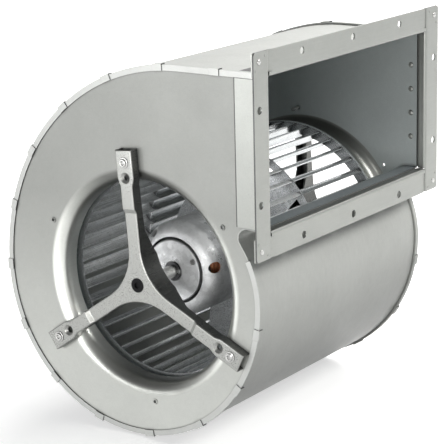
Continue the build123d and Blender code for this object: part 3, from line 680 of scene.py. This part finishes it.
studio = {"floorHeight": -0.2829, "floorSize": 16.0, "floorTone": (0.80, 0.80, 0.80, 1),
          "bounceTone": (0.14, 0.145, 0.15, 1), "lift": 0.58, "liftFrom": 0.9, "liftTo": 2.4,
          "worldTone": (0.90, 0.95, 1.0, 1), "worldStrength": 0.13, "skyFrom": 0.27, "skyTo": 0.6,
          "zenith": 0.25, "nearSide": -0.6, "farSide": 0.2, "rightGain": 0.8, "front": 0.5}


def seenRays(tree):
    path = add(tree, "LightPath")
    seen = sums(tree, "MAXIMUM", path.outputs["Is Camera Ray"], path.outputs["Is Glossy Ray"])
    return sums(tree, "MAXIMUM", seen, path.outputs["Is Transmission Ray"])


def makeFloor():
    bpy.ops.mesh.primitive_plane_add(size=studio["floorSize"], location=(0, 0, studio["floorHeight"]))
    floor = bpy.context.object
    floor.name = "studioFloor"
    applyPlace(floor)
    material = bpy.data.materials.new("paleFloor")
    material.use_nodes = True
    tree = material.node_tree
    tree.nodes.clear()
    out = add(tree, "OutputMaterial")
    plain = add(tree, "BsdfDiffuse")
    plain.inputs["Color"].default_value = studio["floorTone"]
    bounce = add(tree, "BsdfDiffuse")
    bounce.inputs["Color"].default_value = studio["bounceTone"]
    glow = add(tree, "Emission")
    glow.inputs["Color"].default_value = (1, 1, 1, 1)
    here = add(tree, "VectorMath", operation="LENGTH")
    feed(tree, add(tree, "TexCoord").outputs["Object"], here.inputs[0])
    lift = spread(tree, here.outputs["Value"], studio["liftFrom"], studio["liftTo"], studio["lift"], 1.0)
    feed(tree, lift, glow.inputs["Strength"])
    lifted = add(tree, "AddShader")
    feed(tree, plain.outputs[0], lifted.inputs[0])
    feed(tree, glow.outputs[0], lifted.inputs[1])
    choice = add(tree, "MixShader")
    feed(tree, seenRays(tree), choice.inputs[0])
    feed(tree, bounce.outputs[0], choice.inputs[1])
    feed(tree, lifted.outputs[0], choice.inputs[2])
    feed(tree, choice.outputs[0], out.inputs["Surface"])
    wear(floor, material)


def makeWorld():
    world = bpy.data.worlds.new("studio")
    bpy.context.scene.world = world
    world.use_nodes = True
    tree = world.node_tree
    tree.nodes.clear()
    out = add(tree, "OutputWorld")
    soft = add(tree, "Background")
    soft.inputs["Color"].default_value = studio["worldTone"]
    soft.inputs["Strength"].default_value = studio["worldStrength"]
    white = add(tree, "Background")
    white.inputs["Color"].default_value = (1, 1, 1, 1)
    parts = add(tree, "SeparateXYZ")
    feed(tree, add(tree, "TexCoord").outputs["Generated"], parts.inputs[0])
    height = spread(tree, parts.outputs["Z"], studio["skyFrom"], studio["skyTo"], 1.0, studio["zenith"])
    toRight = sums(tree, "MULTIPLY", sums(tree, "MAXIMUM", parts.outputs["X"], 0.0), studio["rightGain"])
    depth = sums(tree, "ADD", parts.outputs["Y"], toRight)
    depth = spread(tree, depth, studio["nearSide"], studio["farSide"], studio["front"], 1.0)
    away = add(tree, "LightPath").outputs["Is Camera Ray"]
    feed(tree, sums(tree, "MAXIMUM", sums(tree, "MULTIPLY", height, depth), away), white.inputs["Strength"])
    choice = add(tree, "MixShader")
    feed(tree, seenRays(tree), choice.inputs[0])
    feed(tree, soft.outputs[0], choice.inputs[1])
    feed(tree, white.outputs[0], choice.inputs[2])
    feed(tree, choice.outputs[0], out.inputs["Surface"])


def makeLamp(name, place, aim, size, power, tone):
    lamp = bpy.data.lights.new(name, "AREA")
    lamp.shape = "RECTANGLE"
    lamp.size, lamp.size_y = size
    lamp.energy = power
    lamp.color = tone
    holder = bpy.data.objects.new(name, lamp)
    bpy.context.scene.collection.objects.link(holder)
    holder.location = place
    holder.rotation_euler = (Vector(aim) - Vector(place)).to_track_quat("-Z", "Y").to_euler()


lamps = [  # name, place, aim, size, power, tone
    ("backAbove", (-0.2, 1.35, 1.65), (-0.15, 0, -0.1), (2.0, 2.0), 60.0, (1, 0.99, 0.97)),
    ("frontLow", (-0.6, -1.6, -0.10), (-0.2, 0, -0.2), (1.2, 0.3), 9.0, (1, 1, 1)),
    ("frontRight", (0.6, -2.15, 0.05), (-0.12, 0, -0.12), (1.0, 0.6), 15.0, (1, 0.99, 0.96)),
    ("right", (1.6, 0.30, 1.45), (-0.05, 0, -0.1), (0.8, 0.8), 29.0, (1, 0.99, 0.96)),
]
viewer = {"place": (0.8068, -1.3409, 0.32675), "yaw": 35.47, "pitch": 14.84, "roll": -1.35, "lens": 142.5,
          "sensor": 36.0}


def makeCamera():
    camera = bpy.data.cameras.new("photoView")
    camera.lens = viewer["lens"]
    camera.sensor_width = viewer["sensor"]
    holder = bpy.data.objects.new("photoView", camera)
    bpy.context.scene.collection.objects.link(holder)
    yaw, pitch, roll = (radians(viewer[key]) for key in ("yaw", "pitch", "roll"))
    back = Vector((sin(yaw) * cos(pitch), -cos(yaw) * cos(pitch), sin(pitch)))
    level = Vector((cos(yaw), sin(yaw), 0))
    upright = back.cross(level)
    right = level * cos(roll) + upright * sin(roll)
    up = upright * cos(roll) - level * sin(roll)
    turn = Matrix((right, up, back)).transposed().to_4x4()
    holder.matrix_world = Matrix.Translation(viewer["place"]) @ turn
    bpy.context.scene.camera = holder


makeFloor()
makeWorld()
for lamp in lamps:
    makeLamp(*lamp)
makeCamera()
bpy.context.scene.view_settings.view_transform = "Standard"
print("studio ready")
